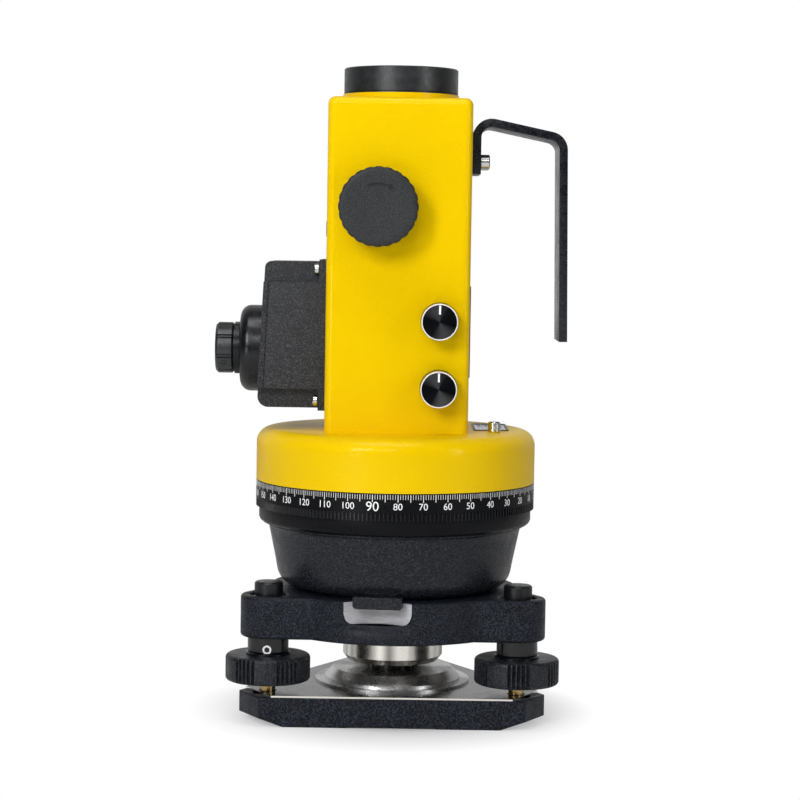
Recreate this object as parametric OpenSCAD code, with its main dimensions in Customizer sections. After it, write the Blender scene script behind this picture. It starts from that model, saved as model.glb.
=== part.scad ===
// Laser plummet with a horizontal degree circle, standing in a levelling tribrach.
// Millimetres. +Z is up, the front faces -Y, and the origin is the centre of the base plate's
// underside, on the plumb axis and at the mouth of the tripod thread.

/* [Base plate] */
// Height of the base plate without the spring plate
plate_h = 13.8; // [12.8:0.1:14]
// Distance from the plumb axis to each long side of the base plate
plate_side = 47.6; // [46:0.2:50]
// Distance from the plumb axis to each cut corner of the base plate
plate_corner = 77.1; // [76:0.2:80]
// Height of the three pads the base stands on
pad_h = 0.8; // [0.4:0.1:1.2]
// Radius of the tripod thread's wall (a 5/8 inch, 11 threads per inch screw)
tripod_r = 6.8; // [6.6:0.05:6.9]

/* [Tribrach] */
// Distance from the plumb axis to each foot screw
foot_r = 67.14; // [66.5:0.02:67.5]
// Radius of the round middle of the tribrach
tribrach_r = 60; // [59:0.5:61]
// Radius of each arm's rounded end
arm_r = 13; // [12:0.1:14]
// Radius of a foot screw's knob
foot_knob_r = 19.8; // [18:0.2:20]
// Width of the bright notch in the tribrach's front
notch_w = 32; // [26:1:34]

/* [Horizontal circle] */
// Radius of the degree circle and of the turntable
circle_r = 66.5; // [66:0.1:67]
// Rounding of the turntable's top edge
turntable_edge = 7; // [4:0.5:9]

/* [Column] */
// Width and depth of the column
column_w = 67; // [66:0.2:68]
// Height of the column's flat top above the base
column_top = 291.5; // [290:0.5:292]
// Radius of the objective ring
objective_r = 27; // [25:0.2:27.4]

/* [Controls] */
// Radius of the focusing knob
focus_knob_r = 18.5; // [16:0.25:20]
// Radius of the two brightness knobs
power_knob_r = 8.45; // [7.5:0.05:9]
// Thickness of the bent carrying strap
strap_t = 3.9; // [3.4:0.1:4.4]

/* [Hidden] */
$fn = 64;
eps = 1;                 // how far a cutter runs past the face it opens
run = 0.05;              // radial running clearance across a joint
foot_angles = [210, 330, 90];   // left, right, back

// heights
ball_z = 11;
spring_top = plate_h + 0.8;
arm_z0 = 40.6;
arm_z1 = 60.2;
cavity_z0 = 42.6;
cavity_z1 = 52;
bowl_z1 = 90.95;
circle_z0 = 91;
circle_z1 = 111.2;
turntable_z0 = 111.4;
turntable_z1 = 136;
lip_top = column_top + 2.5;
objective_z0 = lip_top + 0.4;
objective_z1 = 306.3;

// base
ball_r = 3.5;
cup_play = 0.25;         // the cups ride on the balls while the tribrach tilts
pin_r = 3;
pad_len = 26;
plug_r = 20;
flange_screw_r = 27;
flange_top = 21;
flange_boss_r = 11.8;

// tribrach
collar_r = 9.55;
stem_r = 4.5;
bush_r = 7;
cap_r = 6.65;
cap_recess_r = 8.4;
hub_r = 23.8;
hub_z0 = 24.7;
hub_flange_r = 46.5;
notch_angle = -97;       // the notch and the lug are a little left of the front
register_r = 25;
stud_circle = 34;
stud_angles = [30, 150, 270];
stud_r = 6;
stud_neck_r = 2;
ring_ri = 26;
ring_ro = 44;
ring_z0 = 46.2;
ring_z1 = 50;
lock_angle = 140;
lock_z = 48.1;
lock_shaft_r = 4;
crank_r = 2.5;
crank_pin_r = 1.4;
crank_reach = 42.3;      // where the crank pin bears on the clamp ring
vial_angle = 50;
vial_dist = 64;
vial_case_r = 9.5;
vial_top = 57.5;

// lower base
sleeve_r = 18;
spindle_r = 12;
beam_r = 7;

// column
half = column_w / 2;
wall = 3;
inner = half - wall;
column_edge = 3.5;
tube_r = 22;
tube_ri = 19.5;
tube_step_z = 214;
prism_z = 173.3;

// focusing drive
focus_x = -9.5;
focus_z = 240.7;
focus_front = -50;
shaft_r = 4;
tooth_m = 0.75;
tooth_n = 12;
pitch_r = tooth_m * tooth_n / 2;
tooth_pitch = PI * tooth_m;
pressure = 20;
backlash = 0.12;
tip_h = 0.5;             // stub teeth, so that a small pinion is not undercut
root_h = 0.8;
rack_y0 = -28;
rack_y1 = -23;

// brightness knobs
power_x = 19.4;
power_zs = [157.3, 188.4];
power_front = -45;
power_shaft_r = 3;

// eyepiece side
case_x0 = -65.3;
case_x1 = -36.8;
case_z0 = 146.5;
case_z1 = 215;
panel_z0 = 155.6;
panel_z1 = 205.4;
case_core_y = 20.5;
case_panel_y = 26;
case_screw_y = 23.4;
case_screw_zs = [150.1, 211.5];
boss_r = 20.5;
boss_x1 = -63.3;
boss_x0 = -74.6;
eye_ring_x0 = -77.5;
eye_cell_r = 8.45;
eye_knob_r = 12.1;
eye_knob_x0 = -86.3;

// battery side
door_z0 = 161;
door_z1 = 204.5;
door_y = 20;
door_hinge = [33, 162.3];
cell_r = 8.4;

// handle
strap_w = 34;
strap_pad_t = 0.5;       // rubber between the strap and the column
strap_x = half + strap_pad_t + strap_t / 2;
strap_path = [[strap_x, 257], [strap_x, 282.6], [76.4, 274.2], [77.95, 179]];
strap_bend = 6.8;
bend_steps = 16;         // flats in each bend
handle_screw_z = 263;
handle_screw_y = 7;

// ---------- shared shapes ----------

module box(low, high) translate(low) cube(high - low);

module cyl_z(r, z0, z1) translate([0, 0, z0]) cylinder(r = r, h = z1 - z0);

module cyl_x(r, x0, x1) translate([x0, 0, 0]) rotate([0, 90, 0]) cylinder(r = r, h = x1 - x0);

module cyl_y(r, y0, y1) translate([0, y1, 0]) rotate([90, 0, 0]) cylinder(r = r, h = y1 - y0);

module tube_z(ro, ri, z0, z1) difference() {
    cyl_z(ro, z0, z1);
    cyl_z(ri, z0 - eps, z1 + eps);
}

// A knob blank with a chamfer at both ends.
module chamfered(r, z0, z1, c) rotate_extrude()
    polygon([[0, z0], [r - c, z0], [r, z0 + c], [r, z1 - c], [r - c, z1], [0, z1]]);

module at_foot(i) rotate(foot_angles[i]) translate([foot_r, 0, 0]) children();

module at_feet() for (i = [0:2]) at_foot(i) children();

module around(angles, r) for (a = angles) rotate(a) translate([r, 0, 0]) children();

// A triangle with its corners cut, corners towards the foot screws.
module cut_triangle(side, corner) intersection() {
    rotate(90) circle(r = 2 * side, $fn = 3);
    rotate(-90) circle(r = 2 * corner, $fn = 3);
}

// A box with rounded upright edges and a rounded top edge; its underside is flat.
module soft_box(hx, hy, z0, z1, r) {
    box([-hx, -hy + r, z0], [hx, hy - r, z1 - r]);
    box([-hx + r, -hy, z0], [hx - r, hy, z1 - r]);
    box([-hx + r, -hy + r, z0], [hx - r, hy - r, z1]);
    for (sx = [-1, 1], sy = [-1, 1]) translate([sx * (hx - r), sy * (hy - r), 0]) {
        cyl_z(r, z0, z1 - r);
        translate([0, 0, z1 - r]) sphere(r = r);
    }
    for (s = [-1, 1]) {
        translate([0, s * (hy - r), z1 - r]) cyl_x(r, -hx + r, hx - r);
        translate([s * (hx - r), 0, z1 - r]) cyl_y(r, -hy + r, hy - r);
    }
}

// A cap screw along +Z from z = 0: shank below, socket head above.
module cap_screw(shank_r, shank_h, head_r, head_h, socket_r) {
    cyl_z(shank_r, -shank_h, 0);
    difference() {
        chamfered(head_r, 0, head_h, 0.4);
        translate([0, 0, head_h / 2]) cylinder(r = socket_r, h = head_h, $fn = 6);
    }
}

// ---------- base ----------

module base_plate() color([0.09, 0.1, 0.12]) difference() {
    union() {
        translate([0, 0, pad_h]) linear_extrude(plate_h - pad_h)
            cut_triangle(plate_side, plate_corner);
        linear_extrude(pad_h) difference() {
            cut_triangle(plate_side, plate_corner);
            circle(r = plate_corner - pad_len);
        }
    }
    for (a = foot_angles) rotate(a) base_bevel();
    at_feet() {
        cyl_z(6.5, ball_z - 0.2, plate_h + eps);
        translate([0, 0, ball_z]) sphere(r = ball_r + run);
    }
    cyl_z(plug_r, -eps, plate_h + eps);
    around([30, 150, 270], flange_screw_r) {
        cyl_z(2, -eps, plate_h + eps);
        cyl_z(4, -eps, 5);
    }
}

// The cut corners are bevelled underneath.
module base_bevel() translate([plate_corner - 10, 0, 0]) rotate([0, -21.8, 0])
    box([0, -40, -20], [30, 40, 0]);

module spring_plate() color([0.72, 0.72, 0.7]) difference() {
    translate([0, 0, plate_h]) linear_extrude(spring_top - plate_h)
        cut_triangle(plate_side - 0.4, 72);
    cyl_z(plug_r, 0, spring_top + eps);
    at_feet() cyl_z(4.2, 0, spring_top + eps);
    around([30, 150, 270], flange_screw_r) cyl_z(2, 0, spring_top + eps);
}

module base_flange() color([0.66, 0.66, 0.64]) difference() {
    rotate_extrude() polygon([[0, 0], [plug_r, 0], [plug_r, spring_top], [37, spring_top],
        [37, spring_top + 1], [32.5, spring_top + 1.2], [32.5, 16.8], [31.8, 17.6],
        [28.5, flange_top], [flange_boss_r, flange_top], [flange_boss_r, 23.6], [0, 23.6]]);
    cyl_z(tripod_r, -eps, 19);
    cyl_z(8.8, 18, 24);
    around([30, 150, 270], flange_screw_r) cyl_z(1.6, spring_top - eps, spring_top + 4);
}

module flange_screws() color([0.6, 0.6, 0.6]) around([30, 150, 270], flange_screw_r)
    difference() {
        union() {
            cyl_z(3.6, 2, 5);
            cyl_z(1.6, 5, spring_top + 4);
        }
        translate([0, 0, 1]) cylinder(r = 1.6, h = 2.5, $fn = 6);
    }

module foot_ball() translate([0, 0, ball_z]) sphere(r = ball_r);

module back_foot_ball() color([0.8, 0.8, 0.8]) at_foot(2) foot_ball();

module front_foot_balls() color([0.8, 0.8, 0.8]) for (i = [0, 1]) at_foot(i) foot_ball();

// ---------- tribrach ----------

module tribrach_outline() {
    circle(r = tribrach_r);
    cut_triangle(foot_r / 2 + arm_r, foot_r + arm_r / 2);
    at_feet() circle(r = arm_r);
}

module tribrach_body() color([0.13, 0.14, 0.17]) difference() {
    translate([0, 0, arm_z0]) linear_extrude(arm_z1 - arm_z0) tribrach_outline();
    cyl_z(hub_flange_r, arm_z0 - eps, cavity_z0);
    cyl_z(ring_ro + run, cavity_z0 - eps, cavity_z1);
    cyl_z(register_r + run, cavity_z1 - eps, arm_z1 + eps);
    around(stud_angles, stud_circle) cyl_z(stud_r + 0.1, cavity_z1 - eps, arm_z1 + eps);
    at_feet() {
        cyl_z(collar_r + 0.1, arm_z0 - eps, 50);
        cyl_z(bush_r, 50 - eps, arm_z1);
        cyl_z(cap_recess_r, arm_z1 - 1.2, arm_z1 + eps);
    }
    rotate(notch_angle) front_notch();
    rotate(lock_angle) translate([0, 0, lock_z])
        cyl_x(lock_shaft_r + run, ring_ro - 2, tribrach_r + eps);
    rotate(vial_angle) translate([vial_dist, 0, 0]) cyl_z(vial_case_r, 44, arm_z1 + eps);
}

// Hollowed in plan by an upright cutter, with rounded lower corners.
module front_notch() intersection() {
    translate([tribrach_r + 13, 0, 0]) cyl_z(22, 40, 70);
    union() {
        box([40, -notch_w / 2, 54.5], [70, notch_w / 2, arm_z1 + eps]);
        box([40, -notch_w / 2 + 4.5, 50], [70, notch_w / 2 - 4.5, arm_z1]);
        for (s = [-1, 1]) translate([0, s * (notch_w / 2 - 4.5), 54.5]) cyl_x(4.5, 40, 70);
    }
}

module centering_hub() color([0.7, 0.7, 0.68]) difference() {
    union() {
        rotate_extrude() polygon([[0, hub_z0], [21.6, hub_z0], [hub_r, hub_z0 + 2.8], [hub_r, arm_z0],
            [hub_flange_r, arm_z0], [hub_flange_r, cavity_z0], [0, cavity_z0]]);
        box([-43, -10, arm_z0 - 2], [-20, 8, arm_z0]);
    }
    cyl_z(15, hub_z0 - eps, cavity_z0 + eps);
}

module foot_bushes() color([0.72, 0.58, 0.32]) at_feet()
    tube_z(bush_r, stem_r + run, 50, arm_z1 - 1.2);

module foot_caps() color([0.09, 0.09, 0.1]) at_feet() difference() {
    chamfered(cap_r, arm_z1 - 1.2, 66.1, 0.8);
    cyl_z(5.3, arm_z1 - 2.2, 64.6);
}

module at_level_vial() rotate(vial_angle) translate([vial_dist, 0, 0]) children();

module level_vial_case() color([0.12, 0.12, 0.13]) at_level_vial() difference() {
    chamfered(vial_case_r, 44, vial_top, 0.6);
    cyl_z(7.5, 51, vial_top + eps);
}

module level_vial() color([0.75, 0.85, 0.35]) at_level_vial() intersection() {
    cyl_z(7.5, 51, vial_top);
    translate([0, 0, vial_top - 41]) sphere(r = 40.8);
}

// Three round holes catch under the stud heads when the ring is turned.
module clamp_ring() color([0.6, 0.6, 0.58]) difference() {
    tube_z(ring_ro, ring_ri, ring_z0, ring_z1);
    around(stud_angles, stud_circle) cyl_z(stud_r + 0.3, ring_z0 - eps, ring_z1 + eps);
    rotate(lock_angle - asin(crank_r / crank_reach))
        box([39.5, -2.2, ring_z0 - eps], [ring_ro + eps, 2.2, ring_z1 + eps]);
}

// The lever's shaft carries a crank pin that swings the clamp ring.
module lock_lever() color([0.12, 0.12, 0.13]) rotate(lock_angle) translate([0, 0, lock_z]) {
    cyl_x(lock_shaft_r, ring_ro + 0.6, tribrach_r + 1.5);
    translate([0, -crank_r, 0]) cyl_x(crank_pin_r, 40, ring_ro + 0.8);
    difference() {
        union() {
            translate([tribrach_r + 0.6, 0, 0]) rotate([0, 90, 0]) chamfered(7.5, 0, 7, 0.8);
            box([tribrach_r + 2.6, -16, -2.6], [tribrach_r + 6.6, 0, 2.6]);
            translate([0, -16, 0]) cyl_x(2.6, tribrach_r + 2.6, tribrach_r + 6.6);
        }
        cyl_x(2, tribrach_r + 6, tribrach_r + 8);
    }
}

// ---------- foot screws ----------

// The pin stands on its ball and carries the turning knob on its shoulder.
module foot_pin() color([0.78, 0.66, 0.4]) difference() {
    union() {
        cyl_z(4.6, ball_z + 0.6, ball_z + 2.3);
        cyl_z(3.6, ball_z + 2.3, 19.8);
        cyl_z(pin_r, 19.8, 34);
    }
    translate([0, 0, ball_z]) sphere(r = ball_r + cup_play);
}

module foot_knob() color([0.15, 0.15, 0.17]) difference() {
    union() {
        chamfered(foot_knob_r, 19.9, 32.1, 1.2);
        cyl_z(collar_r, 32, 46);
        cyl_z(stem_r, 46, 58.4);
    }
    cyl_z(pin_r + run, 19, 34.2);
    for (lobe = [0:5], k = [-2:2]) rotate(lobe * 60 + k * 6.4)
        translate([foot_knob_r + 0.5, 0, 0]) cyl_z(1.2, 19, 33);
    rotate(-90) translate([0, 0, 36.4]) cyl_x(1.6, 6.6, collar_r + eps);
}

// Turned so that the left knob's grub screw faces the front.
module foot_grub() color([0.8, 0.8, 0.78]) rotate(-90) translate([0, 0, 36.4]) difference() {
    cyl_x(1.6, 6.6, collar_r - 0.2);
    translate([8.6, 0, 0]) rotate([0, 90, 0]) cylinder(r = 0.8, h = 2, $fn = 6);
}

module on_foot(i, turn) at_foot(i) rotate(turn - foot_angles[i]) children();

module foot_pin_left() on_foot(0, 0) foot_pin();
module foot_pin_right() on_foot(1, 0) foot_pin();
module foot_pin_back() on_foot(2, 0) foot_pin();
module foot_knob_left() on_foot(0, 0) foot_knob();
module foot_knob_right() on_foot(1, 90) foot_knob();
module foot_knob_back() on_foot(2, 180) foot_knob();
module foot_grub_left() on_foot(0, 0) foot_grub();
module foot_grub_right() on_foot(1, 90) foot_grub();
module foot_grub_back() on_foot(2, 180) foot_grub();

// ---------- lower base and circle ----------

module bowl_profile() {
    polygon([[0, arm_z1], [45.9, arm_z1], [56.2, 70.5], [60.2, 89.5], [61.5, bowl_z1],
        [0, bowl_z1]]);
    translate([45.9, 70.5]) circle(r = 10.3);
}

module base_bowl() color([0.16, 0.17, 0.19]) difference() {
    union() {
        rotate_extrude() intersection() {
            bowl_profile();
            translate([0, arm_z1]) square([70, bowl_z1 - arm_z1]);
        }
        cyl_z(register_r, cavity_z1 + 0.4, arm_z1 + 1);
        rotate(notch_angle) intersection() {
            union() {
                box([45, -11.35, arm_z1], [62, 11.35, 62.8]);
                box([54.8, -11.35, 57.4], [62, 11.35, 62.8]);
            }
            cyl_z(60.2, 57, 65);
        }
    }
    rotate_extrude() polygon([[0, 66.2], [43, 66.2], [50, 70], [56.4, 90], [56.4, 92],
        [0, 92]]);
    cyl_z(beam_r + 5, 50, 67);
    around(stud_angles, stud_circle) cyl_z(3, arm_z1 - eps, 64.2);
}

module base_studs() color([0.75, 0.75, 0.73]) around(stud_angles, stud_circle) {
    cyl_z(stud_r, 43.2, 45.9);
    cyl_z(stud_neck_r, 45.9, 50.6);
    cyl_z(stud_r, 50.6, arm_z1);
    cyl_z(3, arm_z1, 64.2);
}

module axis_sleeve() color([0.7, 0.6, 0.4]) difference() {
    union() {
        cyl_z(sleeve_r, 66.2, 108);
        cyl_z(28, 66.2, 70);
    }
    cyl_z(spindle_r + run, 66, 109);
}

module degree_circle() color([0.1, 0.1, 0.12]) difference() {
    rotate_extrude() difference() {
        union() {
            polygon([[sleeve_r + run, 92], [62.6, circle_z0], [65, 93.4], [65, 98.5],
                [circle_r, 98.6], [circle_r, circle_z1], [61, circle_z1], [61, 97],
                [sleeve_r + run, 97]]);
            translate([62.6, 93.4]) circle(r = 2.4);
        }
        translate([0, 80]) square([80, circle_z0 - 80]);
    }
    around([for (k = [0:5]) k * 60], 40) cyl_z(9, 90, 98);
}

// ---------- alidade ----------

module turntable_profile() {
    square([circle_r - turntable_edge, turntable_z1 - turntable_z0]);
    square([circle_r, turntable_z1 - turntable_z0 - turntable_edge]);
    translate([circle_r - turntable_edge, turntable_z1 - turntable_z0 - turntable_edge])
        circle(r = turntable_edge);
}

module turntable() color([0.97, 0.79, 0.02]) difference() {
    translate([0, 0, turntable_z0]) rotate_extrude() intersection() {
        turntable_profile();
        square([80, 40]);
    }
    cyl_z(61.5, turntable_z0 - eps, 130);
    cyl_z(beam_r, 129, turntable_z1 + eps);
    plate_vial_pocket();
    translate([46.3, -18, 0]) cyl_z(1.5, 129, turntable_z1 + eps);
}

module plate_vial_pocket() box([38, -8, 131], [52.5, 28, turntable_z1 + eps]);

module plate_vial() color([0.85, 0.87, 0.84]) difference() {
    box([38, -8, 131], [52.5, 28, turntable_z1]);
    box([39.2, -6.8, turntable_z1 - 0.6], [51.3, 26.8, turntable_z1 + eps]);
}

module level_screw() color([0.75, 0.75, 0.73]) translate([46.3, -18, 0]) difference() {
    union() {
        cyl_z(1.5, 130, turntable_z1);
        chamfered(3, turntable_z1, 141, 0.5);
    }
    for (a = [0, 90]) translate([0, 0, 138.4]) rotate(a) cyl_x(0.7, -4, 4);
    translate([-4, -0.4, 140.2]) cube([8, 0.8, 2]);
}

module axis_spindle() color([0.75, 0.75, 0.73]) difference() {
    union() {
        cyl_z(spindle_r, 68, 126);
        cyl_z(24, 126, 130);
    }
    cyl_z(beam_r, 67, 131);
}

module column_housing() color([0.95, 0.79, 0.01]) difference() {
    union() {
        soft_box(half, half, turntable_z1, column_top, column_edge);
        cyl_z(27.5, column_top - 2, lip_top);
    }
    box([-inner, -inner, turntable_z1 - eps], [inner, inner, column_top - wall]);
    cyl_z(tube_r, 280, lip_top + eps);
    box([-24, inner - eps, 150], [24, half + eps, 280]);
    translate([focus_x, 0, focus_z]) cyl_y(shaft_r + run, -half - eps, -inner + eps);
    for (z = power_zs) translate([power_x, 0, z])
        cyl_y(power_shaft_r + run, -half - eps, -inner + eps);
    translate([0, 0, prism_z]) cyl_x(9, -half - eps, -inner + eps);
    translate([0, 0, 230.5]) cyl_x(2.5, -half - eps, -inner + eps);
    for (y = [-1, 1], z = case_screw_zs) translate([0, y * case_screw_y, z])
        cyl_x(1.5, -half - eps, -inner + eps);
    box([inner - eps, -door_y - 0.2, door_z0 - 0.4], [half + eps, door_y + 0.2, door_z1 + 0.3]);
    for (y = [-1, 1]) translate([0, y * handle_screw_y, handle_screw_z])
        cyl_x(2, inner - eps, half + eps);
    for (x = [-1, 1], z = [148, 282]) translate([x * 25.5, 0, z])
        cyl_y(1.25, inner - eps, half + eps);
}

module back_cover() color([0.93, 0.77, 0.02]) difference() {
    box([-28, half, 145], [28, half + 2, 285]);
    for (x = [-1, 1], z = [148, 282]) translate([x * 25.5, 0, z])
        cyl_y(1.25, half - eps, half + 3);
}

module back_cover_screws() color([0.7, 0.7, 0.7]) for (x = [-1, 1], z = [148, 282])
    translate([x * 25.5, half + 2, z]) rotate([-90, 0, 0]) cap_screw(1.25, 4.5, 2.4, 1.8, 1);

module telescope_tube() color([0.2, 0.2, 0.22]) difference() {
    union() {
        cyl_z(10, turntable_z1, tube_step_z + 1);
        cyl_z(18, turntable_z1, 139);
        cyl_z(tube_r, tube_step_z, lip_top);
    }
    cyl_z(5, turntable_z1 - eps, 163);
    cyl_z(8.6, 162, tube_step_z + 3);
    cyl_z(tube_ri, tube_step_z + 3, lip_top + eps);
    translate([0, 0, prism_z]) cyl_x(5, -12, 0);
    translate([0, 0, 206]) cyl_x(5, 0, 12);
    box([-2.2, -tube_r - eps, 221], [2.2, -tube_ri + 2, 262]);
}

module objective_cell() color([0.1, 0.1, 0.11]) difference() {
    union() {
        chamfered(objective_r, objective_z0, objective_z1, 0.5);
        cyl_z(tube_ri, 288, objective_z0 + 1);
    }
    cyl_z(17.5, 287, 308);
    cyl_z(20.5, 298, 303.5);
    cyl_z(23.5, 303.5, 308);
}

module objective_lens() color([0.6, 0.75, 0.85, 0.4]) intersection() {
    cyl_z(20.5, 298, 303.5);
    translate([0, 0, 303.4 - 60]) sphere(r = 60, $fn = 200);
}

module prism_block() color([0.7, 0.8, 0.85, 0.4]) translate([0, 6, prism_z])
    rotate([90, 0, 0]) linear_extrude(12) polygon([[-6, -6], [6, -6], [-6, 6]]);

module reticle() color([0.7, 0.8, 0.85, 0.4]) translate([0, 0, prism_z]) cyl_x(7, -37.5, -35.5);

module laser_modules() color([0.72, 0.6, 0.35]) {
    tube_z(5, 1.5, 139, 157);
    difference() {
        translate([0, 0, 206]) cyl_x(5, 9.5, 28);
        translate([0, 0, 206]) cyl_x(1.5, 9, 20);
    }
}

module control_board() color([0.1, 0.35, 0.2]) difference() {
    box([9, -24.4, 147], [30, -22.8, 198]);
    for (z = power_zs) translate([power_x, 0, z]) cyl_y(power_shaft_r + 0.2, -25, -22);
}

module potentiometers() color([0.6, 0.6, 0.62]) for (z = power_zs) translate([power_x, 0, z])
    difference() {
        cyl_y(7.5, -inner, -24.4);
        cyl_y(power_shaft_r + run, -inner - eps, -24);
    }

// ---------- eyepiece ----------

// Front outline of the case in X and Z, its outer side leaning slightly inwards.
module case_outline() {
    low = [case_x0 + 5, case_z0 + 5];
    high = [case_x0 + 5.9, case_z1 - 3];
    lean = asin(2 / norm(high - low)) + atan2(high[0] - low[0], high[1] - low[1]);
    out = [-cos(lean), sin(lean)];
    polygon([[case_x1, case_z0], [low[0], case_z0], low + 5 * out, high + 3 * out,
        [high[0], case_z1], [case_x1, case_z1]]);
    translate(low) circle(r = 5);
    translate(high) circle(r = 3);
}

module case_slab(y) translate([0, y, 0]) rotate([90, 0, 0]) linear_extrude(2 * y)
    case_outline();

module eyepiece_case() color([0.24, 0.25, 0.26]) difference() {
    union() {
        case_slab(case_core_y);
        intersection() {
            case_slab(case_panel_y);
            box([-80, -40, panel_z0], [0, 40, panel_z1]);
        }
        box([case_x1, -case_panel_y, case_z0 - 1], [-half, case_panel_y, case_z1 + 1]);
    }
    box([-59.5, -17, 151], [case_x1, 17, 210.5]);
    translate([0, 0, prism_z]) {
        cyl_x(boss_r, -80, boss_x1);
        cyl_x(eye_cell_r + run, -80, -50);
        cyl_x(7, -40, -half + eps);
    }
    for (y = [-1, 1], z = case_screw_zs) translate([0, y * case_screw_y, z])
        cyl_x(1.5, -40, -half + eps);
    // the groove along the front panel's outer edge
    for (s = [-1, 1]) translate([0, s * case_panel_y, panel_z0]) rotate([0, 2.64, 0])
        box([-62.6, -0.5, -2], [-61.8, 0.5, 52]);
}

module eyepiece_screws() color([0.8, 0.8, 0.78]) for (y = [-1, 1], z = case_screw_zs)
    translate([case_x1, y * case_screw_y, z]) rotate([0, -90, 0])
        cap_screw(1.5, 7, 2.5, 2.4, 1.2);

module boss_profile() {
    polygon([[eye_cell_r + run, 0], [boss_r, 0], [boss_r, 6.3], [15.5, 11.3],
        [eye_cell_r + run, 11.3]]);
    translate([boss_r - 5, 6.3]) circle(r = 5);
    translate([eye_cell_r + run, 11.3]) square([12.2 - eye_cell_r - run, 2.9]);
}

module eyepiece_boss() color([0.14, 0.14, 0.15]) translate([boss_x1, 0, prism_z])
    rotate([0, -90, 0]) rotate_extrude() boss_profile();

// The lens cell slides in the boss as the knob is turned.
module eyepiece_cell() color([0.3, 0.3, 0.32]) translate([0, 0, prism_z]) difference() {
    union() {
        cyl_x(eye_cell_r, -80, -52);
        cyl_x(6.9, -84.6, -80);
    }
    cyl_x(5.5, -86, -51);
}

module eyepiece_knob() color([0.12, 0.12, 0.13]) translate([0, 0, prism_z]) difference() {
    translate([eye_ring_x0 - 0.3, 0, 0]) rotate([0, -90, 0])
        chamfered(eye_knob_r, 0, eye_ring_x0 - 0.3 - eye_knob_x0, 0.7);
    cyl_x(eye_cell_r + run, -80.1, -76);
    cyl_x(6.95, -90, -76);
    rotate([-52, 0, 0]) translate([-82, 0, 0]) cyl_y(0.9, -eye_knob_r - eps, -10);
}

// ---------- batteries ----------

module battery_box() color([0.1, 0.1, 0.1]) difference() {
    box([11, -19, 160.7], [31.3, 19, 199.5]);
    box([12.6, -17.6, 162], [31.3 + eps, 17.6, 198]);
}

module batteries() color([0.2, 0.45, 0.35]) for (y = [-1, 1])
    translate([21.6, y * 8.6, 0]) {
        cyl_z(cell_r, 162.4, 196.6);
        cyl_z(3, 196.6, 197.6);
    }

module battery_door() color([0.12, 0.12, 0.12]) {
    box([31.8, -door_y, door_hinge[1]], [half + 0.7, door_y, door_z1]);
    translate([door_hinge[0], 0, door_hinge[1]]) cyl_y(1.2, -door_y, door_y);
}

// ---------- handle ----------

function unit(v) = v / norm(v);
function along(i) = unit(strap_path[i + 1] - strap_path[i]);
function outward(i) = [-along(i)[1], along(i)[0]];

// Centre of the bend at corner i, on the inner side of both straights.
function bend_centre(i) = let (half_turn = acos(along(i - 1) * along(i)) / 2)
    strap_path[i] - unit(outward(i - 1) + outward(i)) * strap_bend / cos(half_turn);

// The strap's centre line moved out by d, as points from its foot to its free end.
function strap_side(d) = concat([strap_path[0] + d * outward(0)],
    [for (i = [1, 2], k = [0:bend_steps]) let (a = atan2(outward(i - 1)[1], outward(i - 1)[0]),
        turned = acos(along(i - 1) * along(i)) * k / bend_steps)
        bend_centre(i) + (strap_bend + d) * [cos(a - turned), sin(a - turned)]],
    [strap_path[3] + d * outward(2)]);

module strap_outline() {
    outer = strap_side(strap_t / 2);
    inner_side = strap_side(-strap_t / 2);
    last = len(inner_side) - 1;
    polygon(concat(outer, [for (k = [last:-1:0]) inner_side[k]]));
}

module handle() color([0.13, 0.14, 0.15]) difference() {
    translate([0, strap_w / 2, 0]) rotate([90, 0, 0]) linear_extrude(strap_w) strap_outline();
    for (y = [-1, 1]) translate([0, y * handle_screw_y, handle_screw_z]) cyl_x(2, 30, 42);
}

module handle_pad() color([0.08, 0.08, 0.08]) difference() {
    box([half, -strap_w / 2, 257.5], [half + strap_pad_t, strap_w / 2, 275]);
    for (y = [-1, 1]) translate([0, y * handle_screw_y, handle_screw_z]) cyl_x(2, 30, 42);
}

module handle_screws() color([0.8, 0.8, 0.8]) for (y = [-1, 1])
    translate([strap_x + strap_t / 2, y * handle_screw_y, handle_screw_z]) rotate([0, 90, 0])
        cap_screw(2, 9, 3.5, 4.4, 1.7);

module side_plug() color([0.1, 0.1, 0.1]) translate([0, 0, 230.5]) {
    cyl_x(2.5, -half, -inner - 0.5);
    cyl_x(3.6, -half - 1.1, -half);
}

// ---------- focusing ----------

module focus_knob() color([0.2, 0.21, 0.22]) translate([focus_x, 0, focus_z]) difference() {
    union() {
        translate([0, -38, 0]) rotate([90, 0, 0]) chamfered(focus_knob_r, 0, 12, 1);
        cyl_y(14, -38.5, -half - 0.3);
    }
    for (k = [0:23]) rotate([0, k * 15, 0]) translate([focus_knob_r + 1.95, 0, 0])
        cyl_y(2.5, focus_front - eps, -37.5);
    cyl_y(shaft_r, -44, -30);
}

// Involute flank point at roll angle t in degrees, from base radius rb.
function flank(rb, t) = let (s = t * PI / 180)
    [rb * sqrt(1 + s * s), t - atan(s)];
function polar(r, a) = [r * cos(a), r * sin(a)];

module pinion_tooth() {
    rb = pitch_r * cos(pressure);
    tip = pitch_r + tip_h;
    half_deg = (tooth_pitch / 4 - backlash / 2) / pitch_r * 180 / PI;
    start = half_deg + tan(pressure) * 180 / PI - pressure;
    roll = sqrt(pow(tip / rb, 2) - 1) * 180 / PI;
    right = [for (k = [0:3]) let (p = flank(rb, roll * k / 3)) polar(p[0], p[1] - start)];
    left = [for (k = [3:-1:0]) let (p = flank(rb, roll * k / 3)) polar(p[0], start - p[1])];
    polygon(concat([polar(2, -start)], right, left, [polar(2, start)]));
}

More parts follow.
